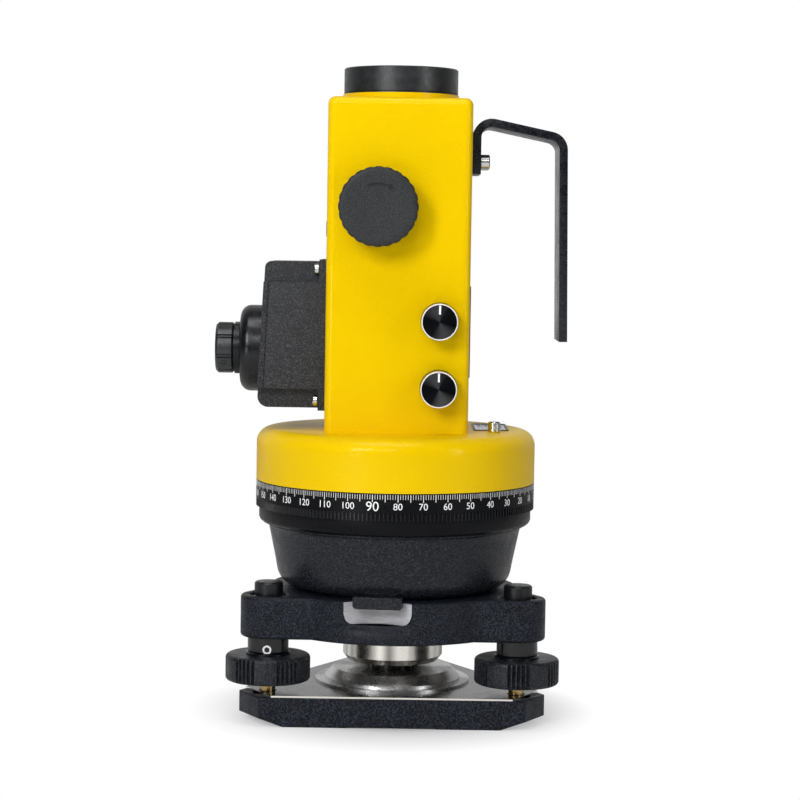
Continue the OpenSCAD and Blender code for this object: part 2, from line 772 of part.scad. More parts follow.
module focus_shaft() color([0.78, 0.78, 0.76]) translate([focus_x, 0, focus_z]) {
    cyl_y(shaft_r, -44, rack_y0);
    translate([0, rack_y1, 0]) rotate([90, 0, 0]) linear_extrude(rack_y1 - rack_y0) {
        circle(r = pitch_r - root_h);
        for (k = [0:tooth_n - 1]) rotate(k * 360 / tooth_n) pinion_tooth();
    }
}

module rack_tooth(z) {
    at_tip = tooth_pitch / 4 - backlash / 2 - tip_h * tan(pressure);
    at_root = tooth_pitch / 4 - backlash / 2 + root_h * tan(pressure);
    x = focus_x + pitch_r;
    polygon([[x + root_h + 0.1, z - at_root], [x - tip_h, z - at_tip], [x - tip_h, z + at_tip],
        [x + root_h + 0.1, z + at_root]]);
}

module focus_cell() color([0.7, 0.7, 0.68]) {
    tube_z(tube_ri - run, 16, 232, 250);
    box([-1.8, rack_y1 - 1, 236], [1.8, -17, 246]);
    translate([0, rack_y1, 0]) rotate([90, 0, 0]) linear_extrude(rack_y1 - rack_y0) {
        translate([focus_x + pitch_r + root_h, focus_z - 17.6]) square([5.5, 35.2]);
        for (k = [-7:6]) rack_tooth(focus_z + (k + 0.5) * tooth_pitch);
    }
}

module focus_lens() color([0.6, 0.75, 0.85, 0.4]) intersection() {
    cyl_z(16, 238, 244);
    translate([0, 0, 243.9 - 70]) sphere(r = 70, $fn = 200);
}

// ---------- brightness knobs ----------

module power_knob(z) color([0.08, 0.08, 0.09]) translate([power_x, 0, z]) {
    cyl_y(power_shaft_r, power_front + 3, -24.6);
    translate([0, -half - 0.6, 0]) rotate([90, 0, 0])
        chamfered(power_knob_r, 0, -half - 0.6 - power_front, 0.6);
}

module power_knob_upper() power_knob(power_zs[1]);
module power_knob_lower() power_knob(power_zs[0]);

base_plate();
spring_plate();
base_flange();
flange_screws();
back_foot_ball();
front_foot_balls();
tribrach_body();
centering_hub();
foot_bushes();
foot_caps();
level_vial_case();
level_vial();
clamp_ring();
lock_lever();
foot_pin_left();
foot_pin_right();
foot_pin_back();
foot_knob_left();
foot_knob_right();
foot_knob_back();
foot_grub_left();
foot_grub_right();
foot_grub_back();
base_bowl();
base_studs();
axis_sleeve();
degree_circle();
turntable();
column_housing();
back_cover();
back_cover_screws();
axis_spindle();
telescope_tube();
objective_cell();
objective_lens();
prism_block();
reticle();
laser_modules();
control_board();
potentiometers();
eyepiece_case();
eyepiece_screws();
eyepiece_boss();
eyepiece_cell();
eyepiece_knob();
battery_box();
batteries();
battery_door();
handle();
handle_screws();
handle_pad();
plate_vial();
level_screw();
side_plug();
focus_knob();
focus_shaft();
focus_cell();
focus_lens();
power_knob_upper();
power_knob_lower();
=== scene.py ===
"""Looks of a laser plummet on a levelling tribrach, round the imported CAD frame. Metres, +Z up."""
import math

import bmesh
import bpy
from mathutils import Matrix, Vector


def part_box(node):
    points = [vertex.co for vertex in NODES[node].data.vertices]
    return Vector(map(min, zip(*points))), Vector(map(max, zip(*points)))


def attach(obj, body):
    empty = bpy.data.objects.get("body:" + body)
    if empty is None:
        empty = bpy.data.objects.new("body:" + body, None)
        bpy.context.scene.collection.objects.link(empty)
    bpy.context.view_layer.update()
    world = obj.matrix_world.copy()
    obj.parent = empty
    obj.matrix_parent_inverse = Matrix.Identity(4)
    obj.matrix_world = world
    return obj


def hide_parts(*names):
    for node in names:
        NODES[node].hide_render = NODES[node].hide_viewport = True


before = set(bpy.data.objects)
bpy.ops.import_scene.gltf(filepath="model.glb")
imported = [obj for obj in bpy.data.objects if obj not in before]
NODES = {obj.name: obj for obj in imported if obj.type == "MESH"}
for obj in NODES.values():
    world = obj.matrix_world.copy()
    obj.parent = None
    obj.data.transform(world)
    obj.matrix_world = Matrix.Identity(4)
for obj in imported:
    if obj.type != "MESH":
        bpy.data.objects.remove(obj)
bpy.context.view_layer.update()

MM = 0.001


# ---------- finishes ----------

CLOUD = 20 * MM              # slow changes of tone across a piece
PATCH = 6 * MM               # patches of rubbed gloss
SPECK = 3 * MM               # small changes of gloss


class Finish:
    """A principled material whose colour, roughness and bump are driven by procedural nodes."""

    def __init__(self, name, color, rough, metallic=0.0, **inputs):
        self.mat = bpy.data.materials.new(name)
        self.mat.use_nodes = True
        self.tree = self.mat.node_tree
        self.bsdf = self.tree.nodes["Principled BSDF"]
        self.coords = self.new("ShaderNodeTexCoord").outputs["Object"]
        self.put("Base Color", (*color, 1.0))
        self.put("Roughness", rough)
        self.put("Metallic", metallic)
        for key, value in inputs.items():
            self.put(key.replace("_", " "), value)
        self.normal = None

    def new(self, kind):
        return self.tree.nodes.new(kind)

    def put(self, name, value):
        """Sets an input of the principled shader to a number, a colour or another node's output."""
        if isinstance(value, bpy.types.NodeSocket):
            self.tree.links.new(value, self.bsdf.inputs[name])
        else:
            self.bsdf.inputs[name].default_value = value

    def noise(self, grain, detail=2.0, stretch=(1, 1, 1), low=0.35, high=0.65):
        """Noise between 0 and 1 with features about `grain` metres across."""
        mapping = self.new("ShaderNodeMapping")
        mapping.inputs["Scale"].default_value = stretch
        self.tree.links.new(self.coords, mapping.inputs["Vector"])
        texture = self.new("ShaderNodeTexNoise")
        texture.inputs["Scale"].default_value = 1.0 / grain
        texture.inputs["Detail"].default_value = detail
        self.tree.links.new(mapping.outputs["Vector"], texture.inputs["Vector"])
        return self.ranged(texture.outputs["Fac"], low, high, 0.0, 1.0)

    def ranged(self, value, low, high, to_low, to_high):
        """A value taken from one range to another, and held at the ends."""
        node = self.new("ShaderNodeMapRange")
        self.tree.links.new(value, node.inputs["Value"])
        for name, number in (("From Min", low), ("From Max", high),
                             ("To Min", to_low), ("To Max", to_high)):
            node.inputs[name].default_value = number
        return node.outputs["Result"]

    def vector(self, operation, first, second=None):
        """A vector maths node on a node output and a fixed second vector."""
        node = self.new("ShaderNodeVectorMath")
        node.operation = operation
        self.tree.links.new(first, node.inputs[0])
        if second is not None:
            node.inputs[1].default_value = second
        return node.outputs["Value" if operation == "LENGTH" else "Vector"]

    def rings(self, pitch):
        """Concentric lathe marks: a noise of the distance from the instrument's axis."""
        flat = self.vector("MULTIPLY", self.coords, (1, 1, 0))
        return self.line_noise(self.vector("LENGTH", flat), 1.0 / pitch, 2.0)

    def line_noise(self, along, scale, detail):
        """Noise of a single coordinate."""
        texture = self.new("ShaderNodeTexNoise")
        texture.noise_dimensions = "1D"
        texture.inputs["Scale"].default_value = scale
        texture.inputs["Detail"].default_value = detail
        self.tree.links.new(along, texture.inputs["W"])
        return texture.outputs["Fac"]

    def split(self, vector):
        """The X, Y and Z outputs of a vector."""
        node = self.new("ShaderNodeSeparateXYZ")
        self.tree.links.new(vector, node.inputs[0])
        return node.outputs

    def math(self, operation, first, second=0.0):
        """A maths node on a node output and a second output or number."""
        node = self.new("ShaderNodeMath")
        node.operation = operation
        self.tree.links.new(first, node.inputs[0])
        if isinstance(second, bpy.types.NodeSocket):
            self.tree.links.new(second, node.inputs[1])
        else:
            node.inputs[1].default_value = second
        return node.outputs[0]

    def tint(self, value, dark, light):
        """Base colour between two colours as value goes from 0 to 1."""
        mix = self.new("ShaderNodeMix")
        mix.data_type = "RGBA"
        mix.inputs[6].default_value = (*dark, 1.0)
        mix.inputs[7].default_value = (*light, 1.0)
        self.tree.links.new(value, mix.inputs[0])
        self.put("Base Color", mix.outputs[2])
        return self

    def gloss(self, value, low, high):
        """Roughness between low and high as value goes from 0 to 1."""
        self.put("Roughness", self.ranged(value, 0.0, 1.0, low, high))
        return self

    def bump(self, value, depth, strength=1.0):
        """Adds relief of `depth` metres to what is there already."""
        node = self.new("ShaderNodeBump")
        node.inputs["Strength"].default_value = strength
        node.inputs["Distance"].default_value = depth
        self.tree.links.new(value, node.inputs["Height"])
        if self.normal is not None:
            self.tree.links.new(self.normal, node.inputs["Normal"])
        self.normal = node.outputs["Normal"]
        self.put("Normal", self.normal)
        return self

    def radial(self, axis):
        """Stretches highlights round a turned part's own centre."""
        node = self.new("ShaderNodeTangent")
        node.direction_type = "RADIAL"
        node.axis = axis
        self.put("Tangent", node.outputs["Tangent"])
        return self


def yellow_enamel():
    """Stove enamel with a fine orange peel; its sheen keeps the yellow of the paint."""
    f = Finish("yellow_enamel", (0.84, 0.53, 0.0), 0.45, Specular_IOR_Level=0.5,
               Specular_Tint=(1.0, 0.72, 0.03, 1.0), Coat_Weight=0.14, Coat_Roughness=0.1)
    f.tint(f.noise(50 * MM, 4), (0.83, 0.54, 0.0), (0.88, 0.58, 0.0))
    f.gloss(f.noise(4 * MM, 3), 0.38, 0.5)
    f.bump(f.noise(1.9 * MM, 2), 0.12 * MM, 0.6)
    return f.bump(f.noise(0.8 * MM, 2), 0.07 * MM, 0.7).mat


def sand_paint(name, dark, light, rough, grain=0.7 * MM, depth=0.18 * MM, sheen=0.35):
    """Powder coat with a sandy grain; pale flecks in its colour are painted glints where single
    grains would catch the light.
    """
    f = Finish(name, light, rough, Specular_IOR_Level=sheen)
    # One noise for both: the grain's relief, and painted glints as pale flecks in the colour.
    grain_and_glint = f.noise(grain, 2, low=0.47, high=0.66)
    f.tint(grain_and_glint, dark, light)
    f.gloss(f.noise(PATCH, 3), rough - 0.06, rough + 0.08)
    f.bump(f.noise(4 * MM, 2), 0.12 * MM, 0.4)
    return f.bump(grain_and_glint, depth, 0.9).mat


def satin_black(name, color, rough, grain=0.6 * MM, depth=0.02 * MM, sheen=0.4):
    """Smooth black of any kind, with slow changes of tone and gloss."""
    f = Finish(name, color, rough, Specular_IOR_Level=sheen)
    f.tint(f.noise(CLOUD, 4), tuple(c * 0.75 for c in color), tuple(c * 1.3 for c in color))
    f.gloss(f.noise(SPECK, 3), rough - 0.05, rough + 0.07)
    return f.bump(f.noise(grain, 2), depth, 0.5).mat


def turned(name, color, rough):
    """Metal off a lathe: fine rings and highlights drawn out round the axis."""
    f = Finish(name, color, rough, 1.0, Anisotropic=0.5)
    f.tint(f.noise(CLOUD, 3, low=0.3, high=0.7), tuple(c * 0.86 for c in color), color)
    f.gloss(f.noise(PATCH, 3), rough - 0.04, rough + 0.07)
    f.bump(f.rings(0.6 * MM), 0.012 * MM, 0.4)
    return f.radial("Z").mat


def machined(name, color, rough):
    """Cut metal with upright tool marks."""
    f = Finish(name, color, rough, 1.0)
    f.tint(f.noise(CLOUD, 4), tuple(c * 0.85 for c in color), color)
    f.gloss(f.noise(PATCH, 3), rough - 0.05, rough + 0.08)
    return f.bump(f.noise(PATCH, 2, stretch=(1, 1, 30)), 0.015 * MM, 0.4).mat


def spun_black():
    """Turned face of a small control knob, with a bow tie of painted highlight and painted shade in
    its colour where the grooves would throw light and dark.
    """
    # Painted highlight and shade: the face's colour goes from dark to light in a bow tie set by the
    # angle round the face.
    dark, light = (0.006, 0.007, 0.009), (0.11, 0.11, 0.115)
    painted_bow_tie_turn = 0.75
    f = Finish("spun_black", (0.03, 0.03, 0.032), 0.3, 1.0, Anisotropic=0.9)
    across = f.new("ShaderNodeTexCoord").outputs["Generated"]
    x, _, z = f.split(f.vector("SUBTRACT", across, (0.5, 0.5, 0.5)))
    double = f.math("MULTIPLY", f.math("ARCTAN2", x, z), 2.0)
    painted_bow_tie = f.math("COSINE", f.math("ADD", double, painted_bow_tie_turn))
    f.tint(f.ranged(painted_bow_tie, -0.3, 1.0, 0.0, 1.0), dark, light)
    f.bump(f.rings(0.2 * MM), 0.004 * MM, 0.3)
    return f.radial("Y").mat


def plate_steel():
    """Blackened spring steel whose sheared edges are bare."""
    bare, black = (0.95, 0.92, 0.86), (0.15, 0.155, 0.15)
    f = Finish("plate_steel", black, 0.34, 1.0)
    level = f.math("ABSOLUTE", f.split(f.new("ShaderNodeNewGeometry").outputs["Normal"])[2])
    f.tint(f.ranged(level, 0.5, 0.95, 0.0, 1.0), bare, black)
    f.gloss(f.noise(PATCH, 3), 0.15, 0.22)
    return f.bump(f.noise(4 * MM, 2, stretch=(20, 1, 1)), 0.006 * MM, 0.25).mat


def milled():
    """Bare aluminium left by a cutter: satin, with fine lines along the cut."""
    dull, clean = (0.84, 0.82, 0.88), (1.0, 1.0, 1.0)
    f = Finish("milled_aluminium", clean, 0.42, 0.15)
    f.tint(f.noise(4 * MM, 3, stretch=(1, 1, 12)), dull, clean)
    f.gloss(f.noise(SPECK, 3), 0.36, 0.5)
    return f.bump(f.noise(SPECK, 2, stretch=(1, 1, 30)), 0.004 * MM, 0.3).mat


def streaked(name, dark, light, rough, turns, grain=0.4):
    """Turned metal with soft upright bands of painted reflection in its colour round its axis,
    standing in for the studio.
    """
    f = Finish(name, light, rough, 1.0, Anisotropic=grain)
    x, y, _ = f.split(f.coords)
    # Painted reflection: light and dark colour bands by the angle round the axis.
    painted_reflection_bands = f.line_noise(f.math("ARCTAN2", y, x), turns, 1.0)
    f.tint(f.ranged(painted_reflection_bands, 0.36, 0.62, 0.0, 1.0), dark, light)
    f.gloss(f.noise(4 * MM, 3), rough - 0.01, rough + 0.03)
    f.bump(f.rings(0.8 * MM), 0.006 * MM, 0.3)
    return f.radial("Z").mat


def clear(name, color, rough=0.03):
    """Glass or a clear fluid."""
    f = Finish(name, color, rough, 0.0, IOR=1.5, Transmission_Weight=0.92, Coat_Weight=0.5)
    return f.gloss(f.noise(10 * MM, 3), rough, rough + 0.03).mat


def print_white():
    """Screen-printed white."""
    f = Finish("print_white", (0.95, 0.95, 0.95), 0.5)
    f.tint(f.noise(0.8 * MM, 2), (0.86, 0.87, 0.88), (1.0, 1.0, 1.0))
    return f.bump(f.noise(0.3 * MM, 2), 0.01 * MM, 0.4).mat


FINISH = {
    "yellow": yellow_enamel(),
    "casting": sand_paint("black_casting", dark=(0.001, 0.0014, 0.0026),
                          light=(0.034, 0.043, 0.068), rough=0.36, grain=0.55 * MM,
                          depth=0.18 * MM, sheen=0.22),
    "sand": sand_paint("sandy_plastic", dark=(0.006, 0.0065, 0.008),
                       light=(0.072, 0.076, 0.086), rough=0.44, grain=0.55 * MM, depth=0.2 * MM,
                       sheen=0.4),
    "knob_sand": sand_paint("knob_rubber", dark=(0.016, 0.0165, 0.018),
                            light=(0.042, 0.044, 0.05), rough=0.5, grain=0.5 * MM, depth=0.1 * MM),
    "knob_mark": sand_paint("knob_mark", dark=(0.004, 0.004, 0.005),
                            light=(0.02, 0.021, 0.024), rough=0.4, grain=0.5 * MM, depth=0.1 * MM),
    "bowl": sand_paint("bowl_black", dark=(0.008, 0.009, 0.012), light=(0.036, 0.039, 0.05),
                       rough=0.27, grain=0.7 * MM, depth=0.05 * MM, sheen=0.2),
    "strap": sand_paint("strap_paint", dark=(0.003, 0.0035, 0.006),
                        light=(0.015, 0.018, 0.028), rough=0.24, grain=0.6 * MM, depth=0.02 * MM,
                        sheen=0.45),
    "screw_black": sand_paint("screw_black", dark=(0.0025, 0.003, 0.0045),
                              light=(0.03, 0.033, 0.045), rough=0.34, grain=0.7 * MM,
                              depth=0.09 * MM),
    "anodised": satin_black("black_anodised", (0.004, 0.0045, 0.006), 0.28),
    "collar": satin_black("collar_black", (0.003, 0.0035, 0.005), 0.16, sheen=0.5),
    "scale": satin_black("scale_black", (0.003, 0.0033, 0.0045), 0.3, sheen=0.12),
    "ring": satin_black("ring_black", (0.012, 0.0145, 0.0165), 0.36, sheen=0.6),
    "plastic": satin_black("black_plastic", (0.006, 0.0065, 0.008), 0.32, 0.7 * MM, 0.03 * MM),
    "rubber": satin_black("black_rubber", (0.010, 0.010, 0.011), 0.75),
    "board": satin_black("solder_mask", (0.02, 0.14, 0.06), 0.35),
    "sleeve": satin_black("cell_film", (0.06, 0.2, 0.14), 0.3),
    "steel": turned("turned_steel", (0.56, 0.55, 0.52), 0.22),
    "brass": turned("turned_brass", (0.5, 0.35, 0.16), 0.24),
    "hub": streaked("hub_steel", (0.3, 0.29, 0.27), (0.98, 0.95, 0.9), 0.22, 2.6),
    "flange": streaked("flange_steel", (0.42, 0.42, 0.43), (0.8, 0.8, 0.8), 0.27, 1.2, 0.3),
    "plate": plate_steel(),
    "bright": machined("bright_steel", (0.75, 0.75, 0.74), 0.2),
    "aluminium": machined("machined_aluminium", (0.78, 0.79, 0.82), 0.26),
    "milled": milled(),
    "lens": clear("coated_lens", (0.62, 0.72, 0.9)),
    "vial": clear("vial_fluid", (0.72, 0.85, 0.25), 0.05),
    "white": print_white(),
    "spun": spun_black(),
}


# ---------- shapes ----------

def piece(name, bm, finish, body, sharp=32.0):
    """Turns a bmesh into a shown piece that rides on a body."""
    bmesh.ops.recalc_face_normals(bm, faces=bm.faces)
    mesh = bpy.data.meshes.new(name)
    bm.to_mesh(mesh)
    bm.free()
    mesh.materials.append(FINISH[finish])
    mesh.shade_smooth()
    mesh.set_sharp_from_angle(angle=math.radians(sharp))
    obj = bpy.data.objects.new(name, mesh)
    bpy.context.scene.collection.objects.link(obj)
    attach(obj, body)
    return obj


def facing(origin, direction):
    """Local +Z along a roughly level direction, with local +Y as near to up as it can be."""
    z = Vector(direction).normalized()
    up = Vector((0, 0, 1))
    x = up.cross(z).normalized()
    y = z.cross(x)
    rotation = Matrix((x, y, z)).transposed().to_4x4()
    return Matrix.Translation(origin) @ rotation


def circle_points(r, steps):
    return [(r * math.cos(2 * math.pi * k / steps), r * math.sin(2 * math.pi * k / steps))
            for k in range(steps)]


def revolve(bm, profile, place=Matrix(), steps=128):
    """A closed solid of revolution about local Z from (radius, height) points in order.

    A profile that starts and ends on the axis closes itself; any other is joined end to start.
    """
    rings = []
    for r, h in profile:
        points = circle_points(r, steps) if r > 0 else [(0, 0)]
        rings.append([bm.verts.new(place @ Vector((x, y, h))) for x, y in points])
    if profile[0][0] > 0 or profile[-1][0] > 0:
        rings.append(rings[0])
    for a, b in zip(rings, rings[1:]):
        for k in range(steps):
            n = (k + 1) % steps
            corners = [a[k % len(a)], a[n % len(a)], b[n % len(b)], b[k % len(b)]]
            bm.faces.new(list(dict.fromkeys(corners)))


def prism(bm, outline, low, high, place=Matrix()):
    """A straight prism over a flat outline, from low to high along local Z."""
    bottom, top = [[bm.verts.new(place @ Vector((x, y, h))) for x, y in outline]
                   for h in (low, high)]
    bm.faces.new(bottom[::-1])
    bm.faces.new(top)
    bridge(bm, [bottom, top])


def on_circle(r, degrees, centre=(0.0, 0.0)):
    """The point (x, y) of a circle at an angle in degrees."""
    a = math.radians(degrees)
    return centre[0] + r * math.cos(a), centre[1] + r * math.sin(a)


def arc(centre, r, start, end, steps):
    """Points (x, y) along an arc in degrees."""
    return [on_circle(r, start + (end - start) * k / steps, centre) for k in range(steps + 1)]


def bridge(bm, lines):
    """Joins neighbouring closed rings of vertices, all of the same length, with four-sided faces."""
    for a, b in zip(lines, lines[1:]):
        for k in range(len(a)):
            n = (k + 1) % len(a)
            bm.faces.new((a[k], a[n], b[n], b[k]))


def ring_prism(bm, inner, outer, low, high, place=Matrix()):
    """A ring between two outlines with the same number of points."""
    sets = [[bm.verts.new(place @ Vector((x, y, h))) for x, y in line]
            for line, h in ((inner, low), (outer, low), (outer, high), (inner, high))]
    bridge(bm, sets + sets[:1])


def teeth(r_low, r_high, count, land=0.3):
    """Outline of a straight knurl: `count` ridges with flat tops of `land` of the pitch."""
    flank = 0.1
    rise = 0.5 - land / 2
    ridge = ((0.0, r_low), (rise - flank, r_low), (rise, r_high), (0.5 + land / 2, r_high))
    return [on_circle(r, 360 * (k + share) / count) for k in range(count)
            for share, r in ridge]


def shrunk(outline, share):
    return [(x * share, y * share) for x, y in outline]


def soften(obj, width, segments=2):
    """Rounds the sharp edges of a piece with a bevel."""
    bevel = obj.modifiers.new("edge", "BEVEL")
    bevel.width = width
    bevel.segments = segments
    bevel.limit_method = "ANGLE"
    bevel.angle_limit = math.radians(28.0)
    bevel.harden_normals = False


# ---------- CAD nodes: finishes and edges ----------

NODE_FINISH = {
    "plate": ["spring_plate"],
    "steel": ["clamp_ring", "base_studs", "axis_spindle", "focus_shaft"],
    "hub": ["centering_hub"],
    "flange": ["base_flange"],
    "bright": ["flange_screws", "back_foot_ball", "front_foot_balls", "back_cover_screws",
               "eyepiece_screws", "handle_screws", "level_screw"],
    "brass": ["foot_bushes", "foot_pin_left", "foot_pin_right", "foot_pin_back", "axis_sleeve",
              "laser_modules"],
    "anodised": ["level_vial_case", "telescope_tube", "eyepiece_boss", "eyepiece_cell"],
    "ring": ["objective_cell"],
    "plastic": ["battery_box", "side_plug"],
    "rubber": ["handle_pad"],
    "yellow": ["turntable", "column_housing"],
    "aluminium": ["potentiometers", "focus_cell", "plate_vial"],
    "lens": ["objective_lens", "prism_block", "reticle", "focus_lens"],
    "vial": ["level_vial"],
    "board": ["control_board"],
    "sleeve": ["batteries"],
}

for finish_name, node_names in NODE_FINISH.items():
    for node_name in node_names:
        mesh = NODES[node_name].data
        mesh.materials.clear()
        mesh.materials.append(FINISH[finish_name])


NOTCH_ANGLE = -97.0          # degrees about the vertical axis
NOTCH_REACH = 17.5           # degrees either side
NOTCH_FROM_Z = 45 * MM
SHARP_FROM = 24.0            # degrees between faces above which an edge is rounded
UPRIGHT_FROM = 0.95          # rise per unit of length above which an edge counts as upright
LEVEL_WITHIN = 0.1 * MM      # of a node's top or foot, for an edge to lie in it
SMOOTH_BELOW = 30.0          # degrees between faces below which shading runs across an edge
# Distance from the vertical axis beyond which an edge counts as one of the outer ones.
OUTER_FROM = {"base_plate": 46.5 * MM, "tribrach_body": 48 * MM}


def near_notch(point):
    """True beside the tribrach's milled notch, whose edges stay crisp."""
    off = (math.degrees(math.atan2(point.y, point.x)) - NOTCH_ANGLE + 180) % 360 - 180
    return abs(off) < NOTCH_REACH and point.z > NOTCH_FROM_Z


def edge_width(edge, outer_from, levels, widths):
    """How wide one sharp edge is rounded: none beside the notch."""
    corner, rim, fine = widths
    ends = [v.co for v in edge.verts]
    far = min(math.hypot(end.x, end.y) for end in ends) > outer_from
    if far and near_notch((ends[0] + ends[1]) / 2):
        return 0.0
    if far and abs((ends[0] - ends[1]).normalized().z) > UPRIGHT_FROM:
        return corner
    outer = any(max(abs(end.z - level) for end in ends) < LEVEL_WITHIN for level in levels)
    return rim if far and outer else fine


def rounded(node, name, finish, body, slot, widths, clamp):
    """Stands in for a CAD node: the same solid with its sharp edges rounded.

    widths are in mm, for upright outer corners, level outer edges and all other edges. With
    clamp, they shrink where edges lie close together.
    """
    bm = bmesh.new()
    bm.from_mesh(NODES[node].data)
    bmesh.ops.remove_doubles(bm, verts=bm.verts, dist=0.001 * MM)
    bmesh.ops.dissolve_limit(bm, angle_limit=0.01, verts=bm.verts, edges=bm.edges)
    weight = bm.edges.layers.float.new("bevel_weight_edge")
    widest = max(widths)
    levels = [end.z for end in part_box(node)]
    outer_from = OUTER_FROM.get(node, 0.0)
    for edge in bm.edges:
        if len(edge.link_faces) == 2 and edge.calc_face_angle() >= math.radians(SHARP_FROM):
            edge[weight] = edge_width(edge, outer_from, levels, widths) / widest
    obj = piece(name, bm, finish, body, SMOOTH_BELOW)
    bevel = obj.modifiers.new("edge", "BEVEL")
    bevel.width = widest * MM
    bevel.segments = 4
    bevel.limit_method = "WEIGHT"
    bevel.use_clamp_overlap = clamp
    graph = bpy.context.evaluated_depsgraph_get()
    mesh = bpy.data.meshes.new_from_object(obj.evaluated_get(graph))
    mesh.name = name
    mesh.shade_smooth()
    mesh.set_sharp_from_angle(angle=math.radians(SMOOTH_BELOW))
    obj.modifiers.clear()
    obj.data = mesh
    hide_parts(node)


ROUNDED = (
    ("eyepiece_case", "eyepiece_shell", "sand", "alidade", "black_plastic", (0.6, 0.6, 0.5),
     True),
    ("base_plate", "plate_casting", "casting", "base", "black_casting", (1.2, 0.8, 0.25),
     False),
    ("tribrach_body", "tribrach_casting", "casting", "tribrach", "black_casting",
     (3.5, 1.5, 0.0), False),
    ("foot_caps", "foot_cap_set", "plastic", "tribrach", "black_plastic", (0.3, 0.3, 0.0), True),
    ("handle", "handle_strap", "strap", "alidade", "black_casting", (0.2, 0.2, 0.2), False),
    ("back_cover", "cover_plate", "yellow", "alidade", "yellow_paint", (0.4, 0.4, 0.3), True),
    ("lock_lever", "lever_arm", "anodised", "lock", "black_anodised", (0.4, 0.4, 0.3), True),
    ("battery_door", "door_leaf", "plastic", "door", "black_plastic", (0.25, 0.25, 0.2), True),
)
for row in ROUNDED:
    rounded(*row)


# ---------- degree circle ----------

circle_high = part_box("degree_circle")[1]
BAND_R = circle_high.x
BAND_TOP = circle_high.z
SCALE_FOOT = 102.4 * MM
KNURL_FOOT = 98.6 * MM
EDGE = 0.2 * MM              # chamfer at the band's top
STEP = 0.6 * MM              # the knurl's root below the band
LIP = ((1.5, 98.6), (1.5, 93.5), (2.1, 92.2), (3.2, 91.3), (4.4, 91.1))  # mm in, mm up
WEB_BORE, WEB_FOOT, WEB_TOP = 18.1 * MM, 92.0 * MM, 97.0 * MM
WELL_R, MOUTH_R = 60.0 * MM, 62.0 * MM
RIDGES = 216
SCALE_AT_FRONT = 81.3        # the graduation that faces straight forward
TICK_BELOW_TOP = 0.3 * MM
FIGURE_Z = 105.3 * MM
PRINT_PROUD = 0.03 * MM      # thickness of the print on the band
PRINT_SUNK = 0.05 * MM


def build_circle():
    """The black ring with its knurled foot."""
    bm = bmesh.new()
    lip = [(BAND_R - inward * MM, up * MM) for inward, up in LIP]
    revolve(bm, [(MOUTH_R, BAND_TOP), (BAND_R - EDGE, BAND_TOP), (BAND_R, BAND_TOP - EDGE),
                 (BAND_R, SCALE_FOOT + 0.1 * MM), (BAND_R - STEP, SCALE_FOOT),
                 (BAND_R - STEP, KNURL_FOOT)] + lip +
            [(WEB_BORE, WEB_FOOT), (WEB_BORE, WEB_TOP), (WELL_R, WEB_TOP)], steps=256)
    ring = piece("circle_ring", bm, "scale", "circle")
    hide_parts("degree_circle")
    bm = bmesh.new()
    knurl = teeth(BAND_R - 0.9 * MM, BAND_R - 0.05 * MM, RIDGES, 0.22)
    ring_prism(bm, shrunk(knurl, 0.985), knurl, KNURL_FOOT + 0.2 * MM, SCALE_FOOT - 0.1 * MM)
    piece("circle_knurl", bm, "anodised", "circle")


def on_scale(angle, x, z, lift):
    """A point on the band: angle in degrees right of the front, x along the band."""
    a = math.radians(angle) + x / BAND_R
    return Vector(((BAND_R + lift) * math.sin(a), -(BAND_R + lift) * math.cos(a), z))


def build_ticks():
    """One printed line a degree, longer and broader at every fifth."""
    bm = bmesh.new()
    top = BAND_TOP - TICK_BELOW_TOP
    for degree in range(360):
        angle = SCALE_AT_FRONT - degree
        length, half = (3.4 * MM, 0.15 * MM) if degree % 5 == 0 else (2.2 * MM, 0.1 * MM)
        inner, outer = [
            [bm.verts.new(on_scale(angle, x, z, lift)) for x, z in (
                (-half, top - length), (half, top - length), (half, top), (-half, top))]
            for lift in (-PRINT_SUNK, PRINT_PROUD)]
        bm.faces.new(inner[::-1])
        bm.faces.new(outer)
        bridge(bm, [inner, outer])
    piece("circle_ticks", bm, "white", "circle")


def figure_mesh(text, size):
    """A flat mesh of a number, centred on the origin."""
    curve = bpy.data.curves.new("figure", "FONT")
    curve.body = text
    curve.size = size
    curve.align_x = "CENTER"
    curve.align_y = "CENTER"
    curve.extrude = PRINT_PROUD
    curve.resolution_u = 4
    holder = bpy.data.objects.new("figure", curve)
    bpy.context.scene.collection.objects.link(holder)
    graph = bpy.context.evaluated_depsgraph_get()
    mesh = bpy.data.meshes.new_from_object(holder.evaluated_get(graph))
    bpy.data.objects.remove(holder)
    bpy.data.curves.remove(curve)
    return mesh


def build_figures():
    """A number every ten degrees, larger at the right angles."""
    bm = bmesh.new()
    for degree in range(0, 360, 10):
        mesh = figure_mesh(str(degree), 6.2 * MM if degree % 90 == 0 else 4.4 * MM)
        for vertex in mesh.vertices:
            x, y, z = vertex.co
            vertex.co = on_scale(SCALE_AT_FRONT - degree, x, FIGURE_Z + y, z)
        bm.from_mesh(mesh)
        bpy.data.meshes.remove(mesh)
    piece("circle_figures", bm, "white", "circle")


build_circle()
build_ticks()
build_figures()


# ---------- brightness knobs ----------

KNOB_FLARE = 0.65 * MM       # how much wider the knob is at the panel than at its face
RIM_WIDTH = 0.55 * MM
FACE_SUNK = 0.2 * MM         # the grip's front below the face of the dial
POINTER_HALF_WIDTH = 0.45 * MM
POINTER_FROM, POINTER_TO = 0.42, 0.9    # of the knob's radius


